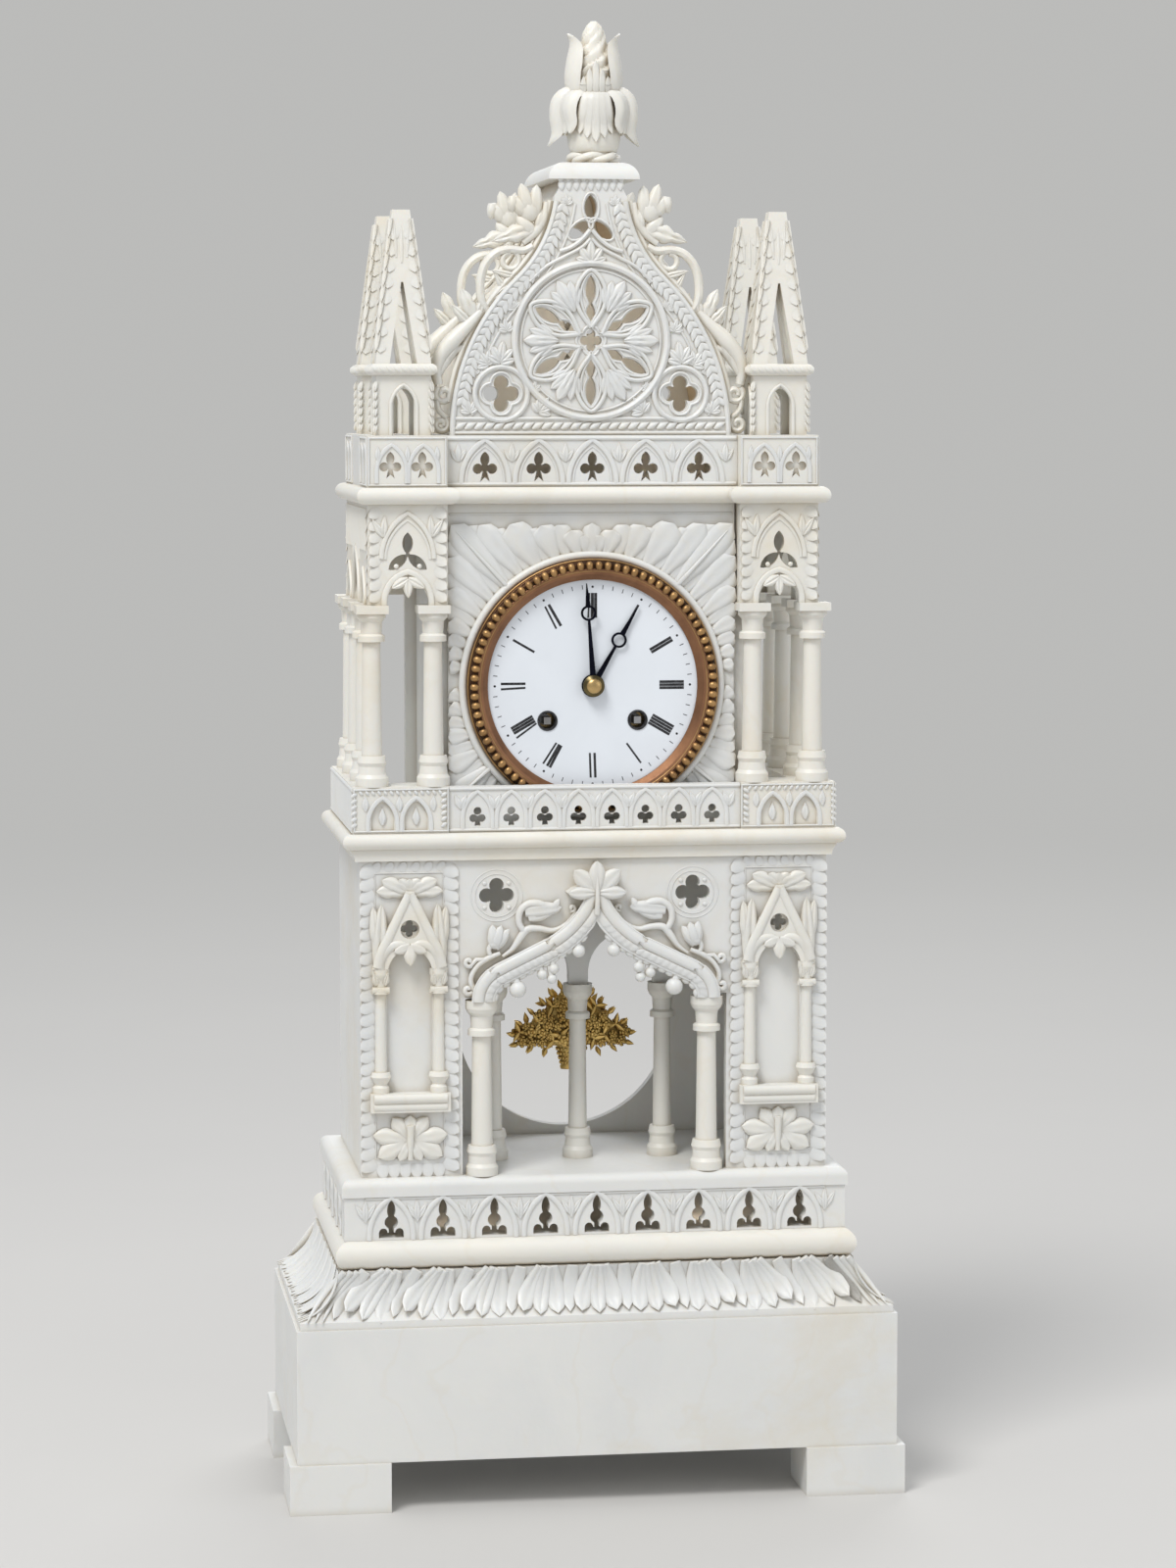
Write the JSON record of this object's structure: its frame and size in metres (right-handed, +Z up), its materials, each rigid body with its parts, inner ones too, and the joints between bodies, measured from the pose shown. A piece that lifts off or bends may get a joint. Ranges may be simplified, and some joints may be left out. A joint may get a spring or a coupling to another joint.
{
  "type": "cathedral mantel clock",
  "caption": "Cathedral mantel clock: pierced stone case with columned storeys, turrets and ogee gables, striking movement, hands and a pendulum swinging behind the portal.",
  "frame": {"origin": "on the shelf under the middle of the plinth", "axes": "+Z up, the dial and portal face -Y, +X to the viewer's right"},
  "size_m": [0.2494, 0.1268, 0.593],
  "materials": {
    "alabaster": "softly polished",
    "roof_stone": "matte",
    "brass": "lacquered",
    "gilt_bronze": "fire gilt",
    "bell_metal": "polished",
    "steel": "polished",
    "blued_steel": "blued",
    "enamel": "glossy enamel"
  },
  "bodies": {
    "case": {"feet": "alabaster", "plinth_block": "alabaster", "leaf_cavetto": "alabaster", "torus_slab": "alabaster", "pierced_frieze": "alabaster", "floor_slab": "alabaster", "front_facade": "alabaster", "lower_side_walls": "alabaster", "lower_back_wall": "alabaster", "portal_arch": "alabaster", "portal_columns": "alabaster", "inner_columns": "alabaster", "inner_arcade": "alabaster", "niche_frames": "alabaster", "main_cornice": "alabaster", "lower_balustrade": "alabaster", "corner_pedestals": "alabaster", "dial_panel": "alabaster", "upper_side_walls": "alabaster", "upper_back_panel": "alabaster", "turret_columns": "alabaster", "turret_heads": "alabaster", "upper_cornice": "alabaster", "upper_balustrade": "alabaster", "corner_blocks": "alabaster", "top_deck": "alabaster", "pinnacle_boxes": "alabaster", "pinnacle_slabs": "alabaster", "spires": "alabaster", "gables": "alabaster", "ogee_roof": "roof_stone", "crest_scrolls": "alabaster", "crown_cap": "alabaster", "finial": "alabaster", "bezel": "brass", "enamel_dial": "enamel", "front_plate": "brass", "back_plate": "brass", "plate_pillars": "brass", "bell": "bell_metal", "bell_stand": "brass", "movement_straps": "brass", "rear_bezel": "brass"},
    "minute_arbor": {"centre_wheel": "brass", "minute_hand": "blued_steel", "hand_collet": "brass"},
    "hour_pipe": {"hour_wheel": "brass", "hour_hand": "blued_steel"},
    "motion_wheel": {"minute_wheel": "brass"},
    "going_drum": {"going_barrel": "brass"},
    "going_key": {"going_arbor": "steel"},
    "strike_drum": {"striking_barrel": "brass"},
    "strike_key": {"striking_arbor": "steel"},
    "third_arbor": {"third_wheel": "brass"},
    "escape_arbor": {"escape_wheel": "brass"},
    "pallets": {"pallet_anchor": "steel"},
    "pendulum": {"pendulum_rod": "gilt_bronze", "pendulum_bob": "gilt_bronze"},
    "hammer_arm": {"hammer": "steel"},
    "back_door": {"rear_door": "brass"}
  },
  "joints": [
    {"name": "minute_turn", "type": "hinge", "parent": "case", "child": "minute_arbor", "pos_m": [0, 0, 0.328], "axis": [0, 1, 0], "continuous": true},
    {"name": "hour_turn", "type": "hinge", "parent": "case", "child": "hour_pipe", "pos_m": [0, 0, 0.328], "axis": [0, 1, 0], "continuous": true},
    {"name": "motion_turn", "type": "hinge", "parent": "case", "child": "motion_wheel", "pos_m": [0, 0, 0.3184], "axis": [0, 1, 0], "continuous": true},
    {"name": "going_turn", "type": "hinge", "parent": "case", "child": "going_drum", "pos_m": [0.0182, 0, 0.314], "axis": [0, 1, 0], "continuous": true},
    {"name": "third_turn", "type": "hinge", "parent": "case", "child": "third_arbor", "pos_m": [-0.01146, 0, 0.34214], "axis": [0, 1, 0], "continuous": true},
    {"name": "escape_turn", "type": "hinge", "parent": "case", "child": "escape_arbor", "pos_m": [0, 0, 0.352], "axis": [0, 1, 0], "continuous": true},
    {"name": "going_wind", "type": "hinge", "parent": "case", "child": "going_key", "pos_m": [0.0182, 0, 0.314], "axis": [0, 1, 0], "continuous": true},
    {"name": "strike_wind", "type": "hinge", "parent": "case", "child": "strike_key", "pos_m": [-0.0182, 0, 0.314], "axis": [0, 1, 0], "continuous": true},
    {"name": "strike_turn", "type": "hinge", "parent": "case", "child": "strike_drum", "pos_m": [-0.0182, 0, 0.314], "axis": [0, 1, 0], "continuous": true},
    {"name": "pendulum_swing", "type": "hinge", "parent": "case", "child": "pendulum", "pos_m": [0, 0, 0.366], "axis": [0, 1, 0], "range_deg": [-4, 4]},
    {"name": "pallet_swing", "type": "hinge", "parent": "case", "child": "pallets", "pos_m": [0, 0, 0.366], "axis": [0, 1, 0], "range_deg": [-4, 4]},
    {"name": "hammer_lift", "type": "hinge", "parent": "case", "child": "hammer_arm", "pos_m": [-0.0345, 0, 0.344], "axis": [0, 1, 0], "range_deg": [0, 12]},
    {"name": "door_open", "type": "hinge", "parent": "case", "child": "back_door", "pos_m": [0.0535, 0.0494, 0.328], "axis": [0, 0, -1], "range_deg": [0, 110]}
  ],
  "couplings": [
    {"joint": "hour_turn", "follows": "minute_turn", "ratio": 0.083333},
    {"joint": "motion_turn", "follows": "minute_turn", "ratio": -0.33333},
    {"joint": "going_turn", "follows": "minute_turn", "ratio": -0.14286},
    {"joint": "third_turn", "follows": "minute_turn", "ratio": -12},
    {"joint": "escape_turn", "follows": "minute_turn", "ratio": 132},
    {"joint": "pallet_swing", "follows": "pendulum_swing", "ratio": 1}
  ]
}
